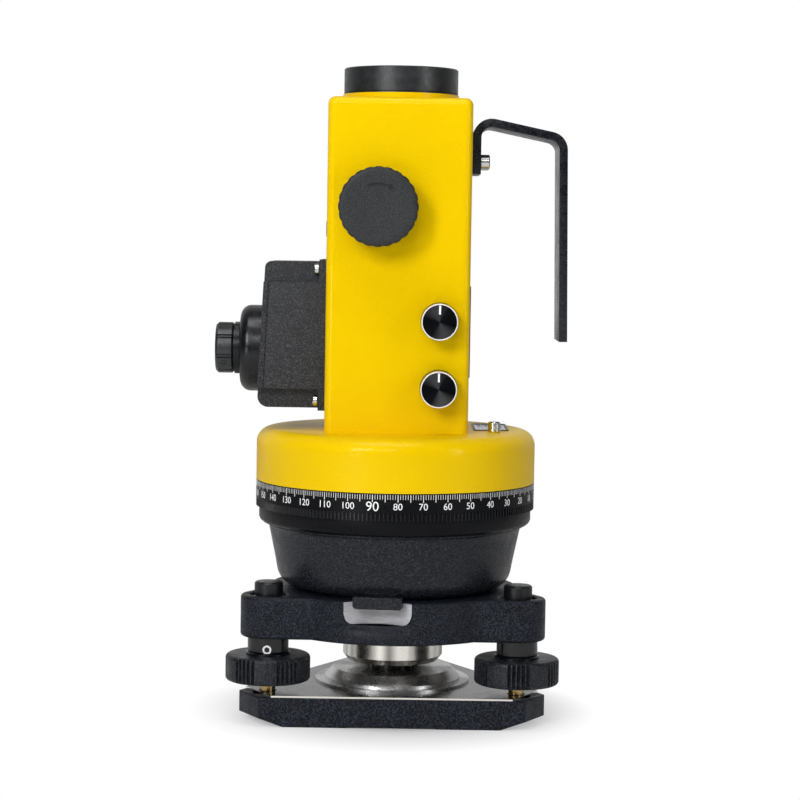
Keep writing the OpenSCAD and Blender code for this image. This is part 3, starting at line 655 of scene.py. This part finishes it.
def build_power_dial(node, body):
    """A tapered black knob with a bright turned rim, a spun face and a printed pointer."""
    low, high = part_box(node)
    centre = Vector(((low.x + high.x) / 2, low.y, (low.z + high.z) / 2))
    place = facing(centre, (0, -1, 0))
    r = (high.x - low.x) / 2
    back = r + KNOB_FLARE
    depth = high.y - low.y
    face = r - RIM_WIDTH
    bm = bmesh.new()
    revolve(bm, [(0, -FACE_SUNK), (r - 0.2 * MM, -FACE_SUNK), (r, -0.6 * MM),
                 (back, -depth + 0.6 * MM), (back - 0.4 * MM, -depth), (0, -depth)], place, 96)
    grip = piece(f"{body}_grip", bm, "anodised", body, 20)
    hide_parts(node)
    bm = bmesh.new()
    revolve(bm, [(0, -0.3 * MM), (face, -0.3 * MM), (face, 0.1 * MM), (0, 0.22 * MM)], place, 96)
    piece(f"{body}_dial", bm, "spun", body, 20)
    bm = bmesh.new()
    revolve(bm, [(face, -0.4 * MM), (r + 0.03 * MM, -0.4 * MM), (r - 0.05 * MM, 0.05 * MM),
                 (r - 0.2 * MM, 0.2 * MM), (face + 0.1 * MM, 0.2 * MM), (face, 0.1 * MM)],
            place, 96)
    piece(f"{body}_rim", bm, "milled", body, 20)
    bm = bmesh.new()
    half, foot, tip = POINTER_HALF_WIDTH, r * POINTER_FROM, r * POINTER_TO
    prism(bm, [(-half, foot), (half, foot), (half, tip), (-half, tip)], 0.0, 0.4 * MM, place)
    piece(f"{body}_pointer", bm, "white", body)


build_power_dial("power_knob_upper", "power_upper")
build_power_dial("power_knob_lower", "power_lower")


# ---------- eyepiece ----------

EYE_GROOVES_AT = 28.0        # first pair of grooves above the knob's front, degrees
EYE_SIDES = 8                # pairs of grooves round the knob
EYE_GROOVE = 0.7 * MM        # how deep they are cut
# Angles from the middle of a pair, and whether the wall is cut there.
EYE_PAIR = ((-5.6, 0), (-4.9, 1), (-2.0, 1), (-1.3, 0), (1.3, 0), (2.0, 1), (4.9, 1), (5.6, 0),
            (12.0, 0), (19.0, 0), (26.0, 0), (33.0, 0))
EYE_BORE = 0.57              # of the knob's radius
EYE_SCREW_BELOW = 33.0       # the set screw sits this far below the knob's front, degrees


def build_eyepiece_grip(place, r, length):
    """The knob with its pairs of grooves and the bore one looks into."""
    outline = [on_circle(r - cut * EYE_GROOVE, 360 / EYE_SIDES * k + EYE_GROOVES_AT + offset)
               for k in range(EYE_SIDES) for offset, cut in EYE_PAIR]
    wall = [(0.93, 0.0), (1.0, 0.8 * MM), (1.0, length - 1.2 * MM), (0.90, length),
            (EYE_BORE, length), (EYE_BORE, 0.0)]
    bm = bmesh.new()
    rings = [[bm.verts.new(place @ Vector((x, y, h))) for x, y in shrunk(outline, share)]
             for share, h in wall]
    bridge(bm, rings + rings[:1])
    grip = piece("eyepiece_grip", bm, "ring", "eyepiece_turner", 25)
    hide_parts("eyepiece_knob")


def build_eyepiece():
    """The knob, its set screw and the knurled ring round the boss."""
    low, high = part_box("eyepiece_knob")
    axis_z = (low.z + high.z) / 2
    length = high.x - low.x
    r = (high.z - low.z) / 2
    build_eyepiece_grip(facing((high.x, 0, axis_z), (-1, 0, 0)), r, length)
    tilt = math.radians(EYE_SCREW_BELOW)
    outward = Vector((0, -math.cos(tilt), -math.sin(tilt)))
    seat = Vector((low.x + length / 2, 0, axis_z)) + outward * (r - 0.1 * MM)
    screw_r, rim_r, socket_r = 1.2 * MM, 0.9 * MM, 0.8 * MM
    bm = bmesh.new()
    revolve(bm, [(0, -0.6 * MM), (screw_r, -0.6 * MM), (screw_r, 0.12 * MM), (rim_r, 0.18 * MM),
                 (socket_r, -0.3 * MM), (0, -0.3 * MM)], facing(seat, outward), 24)
    piece("eyepiece_set_screw", bm, "anodised", "eyepiece_turner", 25)
    bm = bmesh.new()
    knurl = teeth(12.1 * MM, 12.35 * MM, 90)
    ring_prism(bm, shrunk(knurl, 0.9), knurl, 0.3 * MM, 2.6 * MM,
               facing((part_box("eyepiece_boss")[0].x, 0, axis_z), (1, 0, 0)))
    piece("eyepiece_ring", bm, "anodised", "alidade")


build_eyepiece()


# ---------- foot screws ----------

# Shares of a groove's width and depth, from one edge of the groove to the other.
GROOVE = ((-0.5, 0.0), (-0.3, 0.75), (0.0, 1.0), (0.3, 0.75), (0.5, 0.0))


def grooved(bm, outline, levels, place):
    """A closed turned body whose outer wall follows an outline where it is cut by grooves.

    outline holds (radius, degrees) pairs; levels holds (cap radius, height), and each wall point
    takes the smaller of the outline's radius and the level's.
    """
    rings = [[bm.verts.new(place @ Vector((*on_circle(min(r, cap), angle), h)))
              for r, angle in outline] for cap, h in levels]
    bridge(bm, rings)
    bm.faces.new(rings[0][::-1])
    bm.faces.new(rings[-1])


def knob_outline(r, groups, per_group, pitch, width, depth, first=0.0, arc_steps=6):
    """Grooves in groups round a knob, as (radius, degrees) pairs; pitch and width in degrees."""
    points = []
    step = 360.0 / groups
    reach = (per_group - 1) / 2 * pitch
    for g in range(groups):
        centre = first + g * step
        for k in range(per_group):
            at = centre - reach + k * pitch
            points += [(r - depth * cut, at + share * width) for share, cut in GROOVE]
        gap = step - 2 * reach - width
        end = centre + reach + width / 2
        points += [(r, end + gap * k / arc_steps) for k in range(1, arc_steps)]
    return points


KNOB_HEIGHT = 12.2 * MM
KNOB_CHAMFER = 1.3 * MM
KNOB_ROUND = 1.8 * MM
COLLAR_R = 9.55 * MM
COLLAR_TOP = 45.8 * MM
SHANK_R = 4.5 * MM
GRUB_Z = 35.2 * MM
GRUB_R = 2.1 * MM
GRUB_SOCKET = 1.15 * MM      # half the hexagon's width across flats
GRUB_SIDES = 24
SIXTH = 60                   # degrees of one side of a hexagon


def build_grub(side, place):
    """The hexagon socket grub screw, its flat end tangent to the round collar."""
    socket = []
    for k in range(GRUB_SIDES):
        angle = 360 / GRUB_SIDES * k
        off_flat = (angle + SIXTH / 2) % SIXTH - SIXTH / 2
        socket.append(on_circle(GRUB_SOCKET / math.cos(math.radians(off_flat)), angle))
    disc = circle_points(GRUB_R, GRUB_SIDES)
    bm = bmesh.new()
    lines = [[bm.verts.new(place @ Vector((x, y, h))) for x, y in line]
             for line, h in ((disc, -0.8 * MM), (disc, 0.0), (socket, 0.0), (socket, -0.4 * MM))]
    bridge(bm, lines)
    bm.faces.new(lines[-1])
    bm.faces.new(lines[0][::-1])
    grub = piece(f"foot_set_screw_{side}", bm, "milled", f"foot_screw_{side}", 24)
    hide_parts(f"foot_grub_{side}")


def build_foot_grip(side, r, bottom, top, place):
    """The knob itself: six groups of five grooves and a rounded shoulder."""
    levels = [(r - KNOB_CHAMFER, bottom), (r - 0.5 * MM, bottom + 0.4 * MM),
              (r, bottom + KNOB_CHAMFER)]
    levels += arc((r - KNOB_ROUND, top - KNOB_ROUND), KNOB_ROUND, 0, 90, 6)
    bm = bmesh.new()
    grooved(bm, knob_outline(r, 6, 5, 6.4, 4.4, 1.3 * MM), levels, place)
    grip = piece(f"foot_grip_{side}", bm, "screw_black", f"foot_screw_{side}",
                 24)
    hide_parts(f"foot_knob_{side}")


def build_foot_collar(side, top, shank_top, place):
    """The turned collar over the knob, and the shank that runs up into the arm."""
    step = COLLAR_R + 0.9 * MM
    neck = COLLAR_R - 0.3 * MM
    bm = bmesh.new()
    revolve(bm, [(0, top - 2 * MM), (step, top - 2 * MM), (step, top + 0.7 * MM),
                 (step - 0.5 * MM, top + 1.2 * MM), (neck, top + 1.4 * MM), (neck, 33.5 * MM),
                 (COLLAR_R, 33.8 * MM), (COLLAR_R, COLLAR_TOP),
                 (COLLAR_R - 0.2 * MM, COLLAR_TOP + 0.2 * MM), (SHANK_R, COLLAR_TOP + 0.7 * MM),
                 (SHANK_R, shank_top), (0, shank_top)], place, 64)
    piece(f"foot_collar_{side}", bm, "collar", f"foot_screw_{side}", 24)


def build_foot_screw(side, turn):
    low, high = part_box(f"foot_knob_{side}")
    centre = ((low.x + high.x) / 2, (low.y + high.y) / 2, 0)
    place = Matrix.Translation(centre) @ Matrix.Rotation(math.radians(turn), 4, "Z")
    top = low.z + KNOB_HEIGHT
    build_foot_grip(side, (high.x - low.x) / 2, low.z, top, place)
    build_foot_collar(side, top, high.z, place)
    build_grub(side, place @ facing((0, -COLLAR_R, GRUB_Z), (0, -1, 0)))


for side_name, side_turn in (("left", 0), ("right", 90), ("back", 180)):
    build_foot_screw(side_name, side_turn)


# ---------- focusing knob ----------

FOCUS_DEPTH = 12 * MM        # of the gripped part of the knob
FOCUS_HUB_R = 14 * MM
ARROW_R = 10.5 * MM
ARROW_FROM, ARROW_TO = 62.0, 118.0      # degrees; the tip is at the first
ARROW_HALF_WIDTH = 0.35 * MM
ARROW_TIP = 2.2 * MM
ARROW_BARB = 1.4 * MM
ARROW_SUNK, ARROW_PROUD = 0.2 * MM, 0.3 * MM


def build_focus_knob():
    """The large scalloped knob with its hub."""
    low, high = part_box("focus_knob")
    r = (high.x - low.x) / 2
    place = facing(((low.x + high.x) / 2, low.y, (low.z + high.z) / 2), (0, -1, 0))
    back = -FOCUS_DEPTH
    hub = low.y - high.y
    levels = [(r - 1.2 * MM, back), (r, back + 1.2 * MM), (r, -2.2 * MM),
              (r - 0.3 * MM, -1.1 * MM), (r - 1.0 * MM, -0.4 * MM), (r - 2.2 * MM, 0.0),
              (r - 3.2 * MM, -0.1 * MM)]
    bm = bmesh.new()
    grooved(bm, knob_outline(r, 24, 1, 15.0, 8.0, 0.42 * MM, 7.5, 3), levels, place)
    revolve(bm, [(0, back + 1.0 * MM), (FOCUS_HUB_R, back + 1.0 * MM), (FOCUS_HUB_R, hub),
                 (0, hub)], place, 64)
    grip = piece("focus_grip", bm, "knob_sand", "focus_control", 26)
    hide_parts("focus_knob")
    build_arrow(place)


def build_arrow(place):
    """A low curved arrow moulded on the knob's face, for the focusing direction."""
    bm = bmesh.new()
    inner = arc((0.0, 0.0), ARROW_R - ARROW_HALF_WIDTH, ARROW_FROM, ARROW_TO, 24)
    outer = arc((0.0, 0.0), ARROW_R + ARROW_HALF_WIDTH, ARROW_FROM, ARROW_TO, 24)
    prism(bm, inner + outer[::-1], -ARROW_SUNK, ARROW_PROUD, place)
    a = math.radians(ARROW_FROM)
    tip = (ARROW_R * math.cos(a) + ARROW_TIP * math.sin(a),
           ARROW_R * math.sin(a) - ARROW_TIP * math.cos(a))
    head = [on_circle(ARROW_R - ARROW_BARB, ARROW_FROM), tip,
            on_circle(ARROW_R + ARROW_BARB, ARROW_FROM)]
    prism(bm, head, -ARROW_SUNK, ARROW_PROUD, place)
    piece("focus_arrow", bm, "knob_mark", "focus_control", 26)


build_focus_knob()


# ---------- lower base ----------

BOWL_FOOT = 60.2 * MM
BOWL_BOTTOM = ((45.9, 70.5), 10.3, -80, -8)     # centre, radius and ends of the rounded foot
# The wall above the rounded foot and the hollow inside, as mm from the axis and mm up.
BOWL_WALL = ((57.1, 74.5), (58.3, 80.3), (59.5, 86.1), (60.2, 89.3), (60.7, 89.9), (61.5, 90.3))
BOWL_HOLLOW = ((50.0, 70.0), (43.0, 66.2), (12.2, 66.2))
BOWL_MOUTH_R = 56.4 * MM
SOCKET_R = 25 * MM
LUG_HALF_WIDTH = 11.35 * MM
LUG_FOOT, LUG_TOP = 57.4 * MM, 62.8 * MM
LUG_ROUND = 1.6 * MM
LUG_BACK, LUG_FRONT = 54.9 * MM, 60.0 * MM


def in_mm(points):
    return [(a * MM, b * MM) for a, b in points]


def build_bowl():
    """The bowl with its rounded foot, the stepped rim and the bearing well."""
    low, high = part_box("base_bowl")
    centre, radius, start, end = BOWL_BOTTOM
    outside = [(centre[0] * MM, BOWL_FOOT)]
    outside += arc(in_mm([centre])[0], radius * MM, start, end, 12)
    outside += in_mm(BOWL_WALL) + [(BOWL_WALL[-1][0] * MM, high.z)]
    inside = [(BOWL_MOUTH_R, high.z)] + in_mm(BOWL_HOLLOW)
    inside += [(BOWL_HOLLOW[-1][0] * MM, low.z + 0.2 * MM), (SOCKET_R - 0.2 * MM, low.z),
               (SOCKET_R, low.z + 0.2 * MM), (SOCKET_R, BOWL_FOOT)]
    bm = bmesh.new()
    revolve(bm, outside + inside, steps=192)
    bowl = piece("bowl", bm, "bowl", "lower_base", 30)
    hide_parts("base_bowl")


def build_lug():
    """The bowl's locating lug, which drops into the tribrach's notch."""
    left, right = -LUG_HALF_WIDTH, LUG_HALF_WIDTH
    bend_z = LUG_FOOT + LUG_ROUND
    outline = [(left, LUG_TOP), (left, bend_z)]
    outline += arc((left + LUG_ROUND, bend_z), LUG_ROUND, 180, 270, 6)
    outline += arc((right - LUG_ROUND, bend_z), LUG_ROUND, 270, 360, 6)
    outline += [(right, LUG_TOP)]
    place = Matrix.Rotation(math.radians(NOTCH_ANGLE + 90), 4, "Z")
    upright = Matrix.Rotation(math.radians(90), 4, "X")
    bm = bmesh.new()
    prism(bm, outline, LUG_BACK, LUG_FRONT, place @ upright)
    lug = piece("bowl_lug", bm, "bowl", "lower_base", 30)
    soften(lug, 0.6 * MM, 3)


build_bowl()
build_lug()


# ---------- tribrach's machined notch ----------

CUTTER_AT, CUTTER_R = 73 * MM, 21.85 * MM       # the round wall's centre and radius
LINER_HALF = 15.7 * MM
LINER_FLOOR, LINER_TOP = 50.2 * MM, 60 * MM
LINER_FILLET = 3.5 * MM      # between the wall and the floor
LINER_CORNER = 4.5 * MM      # between the floor and the notch's ends
LINER_FRONT = 59.7 * MM      # distance from the vertical axis at which the floor stops
LINER_SKIN = 0.2 * MM
LINER_ROWS, LINER_COLUMNS = 18, 40


def liner_column(y):
    """Points (x, z) down the wall and out along the floor at one place across the notch."""
    back = CUTTER_AT - math.sqrt(CUTTER_R ** 2 - y ** 2)
    edge = math.sqrt(LINER_FRONT ** 2 - y ** 2)
    inward = min(1.0, (LINER_HALF - abs(y)) / LINER_CORNER)
    floor = LINER_FLOOR + LINER_CORNER * (1 - math.sqrt(1 - (1 - inward) ** 2))
    column = [(back, LINER_TOP)]
    for k in range(LINER_ROWS):
        a = math.radians(90 * k / (LINER_ROWS - 1))
        column.append((min(back + LINER_FILLET * (1 - math.cos(a)), edge),
                       floor + LINER_FILLET * (1 - math.sin(a))))
    column.append((edge, floor))
    return column


def build_notch_liner():
    """Bare metal left by the cutter: a hollow wall that runs into the notch's floor."""
    place = Matrix.Rotation(math.radians(NOTCH_ANGLE), 4, "Z")
    bm = bmesh.new()
    grid = []
    for k in range(LINER_COLUMNS + 1):
        y = LINER_HALF * (2 * k / LINER_COLUMNS - 1)
        grid.append([bm.verts.new(place @ Vector((x, y, z))) for x, z in liner_column(y)])
    for a, b in zip(grid, grid[1:]):
        for k in range(len(a) - 1):
            bm.faces.new((a[k], a[k + 1], b[k + 1], b[k]))
    bmesh.ops.solidify(bm, geom=bm.faces[:], thickness=LINER_SKIN)
    piece("notch_liner", bm, "milled", "tribrach", 40)


build_notch_liner()


# ---------- small fittings ----------

COLLAR_ROOT_R, COLLAR_TOOTH_R = 11.95 * MM, 12.6 * MM
CASTELLATIONS = 30
COLLAR_FOOT_Z, COLLAR_TOP_Z = 20.5 * MM, 23.8 * MM
VIAL_FRAME = 1.1 * MM
VIAL_FRAME_SUNK, VIAL_FRAME_PROUD = 1.0 * MM, 0.4 * MM
OBJECTIVE_RING_FOOT = 294.4 * MM
SKIRT_DROP = 1.3 * MM
SKIRT_OUT = 0.02 * MM        # proud of the ring, so the two faces do not share a surface


def build_flange_collar():
    """Black castellated ring standing in the flange, seen under the steel hub."""
    bm = bmesh.new()
    outline = teeth(COLLAR_ROOT_R, COLLAR_TOOTH_R, CASTELLATIONS, 0.4)
    ring_prism(bm, shrunk(outline, 0.75), outline, COLLAR_FOOT_Z, COLLAR_TOP_Z)
    piece("flange_collar", bm, "anodised", "base")


def rectangle(low, high, grow=0.0):
    return [(low.x - grow, low.y - grow), (high.x + grow, low.y - grow),
            (high.x + grow, high.y + grow), (low.x - grow, high.y + grow)]


def build_vial_frame():
    """Dark frame pressed round the plate level's window."""
    low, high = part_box("plate_vial")
    bm = bmesh.new()
    ring_prism(bm, rectangle(low, high), rectangle(low, high, VIAL_FRAME),
               high.z - VIAL_FRAME_SUNK, high.z + VIAL_FRAME_PROUD)
    frame_piece = piece("plate_vial_frame", bm, "plastic", "alidade")
    soften(frame_piece, 0.15 * MM)


def build_objective_skirt():
    """Lower lip of the objective ring, down over the column's round seat."""
    low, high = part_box("objective_cell")
    r = (high.x - low.x) / 2
    lap = 0.2 * MM
    inner = r - 1.0 * MM
    top = OBJECTIVE_RING_FOOT + lap
    bottom = OBJECTIVE_RING_FOOT - SKIRT_DROP
    bm = bmesh.new()
    revolve(bm, [(inner, top), (r + SKIRT_OUT, top), (r + SKIRT_OUT, bottom + lap),
                 (r - lap, bottom), (inner, bottom)], steps=160)
    piece("objective_skirt", bm, "ring", "alidade", 40)


build_flange_collar()
build_vial_frame()
build_objective_skirt()


# ---------- stage ----------

FLOOR_R = 3.0
FLOOR_THICK = 2 * MM
GLOW_FROM, GLOW_TO = 50 * MM, 98 * MM   # from the axis, where the floor fades to plain white
# Name, place, target, width and height, watts.
LAMPS = (
    ("key", (-0.6, -1.1, 0.75), (0, 0, 0.2), (0.35, 0.5), 9),
    ("fill", (0.95, -0.75, 0.45), (0, 0, 0.15), (0.25, 0.7), 2.5),
    ("front", (-0.1, -1.5, 0.95), (0, 0, 0.12), (0.5, 0.3), 3),
    ("low", (-0.7, -1.1, 0.12), (0, 0, 0.06), (0.3, 0.16), 1.2),
    ("top", (-0.1, -0.35, 1.25), (0, 0, 0.1), (0.7, 0.5), 5),
)
# The studio wall's light on the object, rising from the front of the room to the back.
ROOM = {"From Min": 0.1, "From Max": 0.75, "To Min": 0.05, "To Max": 0.6}
CAMERA_AT = (0.0017, -1.1014, 0.225)
CAMERA_PITCH = 3.93          # degrees below the level
CAMERA_ROLL = 0.9
CAMERA_LENS = 103.8


def floor_finish():
    """Pale matt paint that turns, for the camera only, to plain white away from the object."""
    f = Finish("pale_floor", (0.9, 0.9, 0.9), 0.9)
    f.tint(f.noise(200 * MM, 2), (0.88, 0.88, 0.88), (0.92, 0.92, 0.92))
    far = f.ranged(f.vector("LENGTH", f.coords), GLOW_FROM, GLOW_TO, 0.0, 1.0)
    seen = f.new("ShaderNodeLightPath").outputs["Is Camera Ray"]
    mix = f.new("ShaderNodeMixShader")
    link = f.tree.links.new
    link(f.math("MULTIPLY", far, seen), mix.inputs[0])
    link(f.bsdf.outputs[0], mix.inputs[1])
    link(f.new("ShaderNodeEmission").outputs[0], mix.inputs[2])
    link(mix.outputs[0], f.tree.nodes["Material Output"].inputs["Surface"])
    return f.mat


def build_stage():
    bm = bmesh.new()
    prism(bm, circle_points(FLOOR_R, 64), -FLOOR_THICK, 0.0)
    mesh = bpy.data.meshes.new("floor")
    bm.to_mesh(mesh)
    bm.free()
    mesh.materials.append(floor_finish())
    floor = bpy.data.objects.new("floor", mesh)
    bpy.context.scene.collection.objects.link(floor)


def area_light(name, location, target, size, power):
    data = bpy.data.lights.new(name, "AREA")
    data.shape = "RECTANGLE"
    data.size, data.size_y = size
    data.energy = power
    lamp = bpy.data.objects.new(name, data)
    bpy.context.scene.collection.objects.link(lamp)
    lamp.location = location
    lamp.rotation_mode = "QUATERNION"
    lamp.rotation_quaternion = (Vector(target) - Vector(location)).to_track_quat("-Z", "Y")


def build_room():
    """A white sweep behind and a dim room in front; the camera sees plain white."""
    world = bpy.data.worlds.new("studio")
    bpy.context.scene.world = world
    world.use_nodes = True
    nodes, link = world.node_tree.nodes, world.node_tree.links.new
    coords = nodes.new("ShaderNodeTexCoord")
    split = nodes.new("ShaderNodeSeparateXYZ")
    sweep = nodes.new("ShaderNodeMapRange")
    for name, number in ROOM.items():
        sweep.inputs[name].default_value = number
    path = nodes.new("ShaderNodeLightPath")
    strength = nodes.new("ShaderNodeMix")
    strength.inputs["B"].default_value = 1.0
    background = nodes["Background"]
    background.inputs["Color"].default_value = (1, 1, 1, 1)
    link(coords.outputs["Generated"], split.inputs["Vector"])
    link(split.outputs["Y"], sweep.inputs["Value"])
    link(path.outputs["Is Camera Ray"], strength.inputs["Factor"])
    link(sweep.outputs["Result"], strength.inputs["A"])
    link(strength.outputs["Result"], background.inputs["Strength"])


def build_camera():
    """A low pitch, a long lens and a slight roll."""
    pitch = math.radians(CAMERA_PITCH)
    roll = math.radians(CAMERA_ROLL)
    side = Vector((1, 0, 0))
    up = Vector((0, math.sin(pitch), math.cos(pitch)))
    back = Vector((0, -math.cos(pitch), math.sin(pitch)))
    right = side * math.cos(roll) + up * math.sin(roll)
    top = up * math.cos(roll) - side * math.sin(roll)
    matrix = Matrix((right, top, back)).transposed().to_4x4()
    matrix.translation = CAMERA_AT
    data = bpy.data.cameras.new("camera")
    data.sensor_width = 36.0
    data.lens = CAMERA_LENS
    camera = bpy.data.objects.new("camera", data)
    bpy.context.scene.collection.objects.link(camera)
    camera.matrix_world = matrix
    bpy.context.scene.camera = camera


build_stage()
build_room()
for lamp in LAMPS:
    area_light(*lamp)
build_camera()
bpy.context.scene.view_settings.view_transform = "Standard"
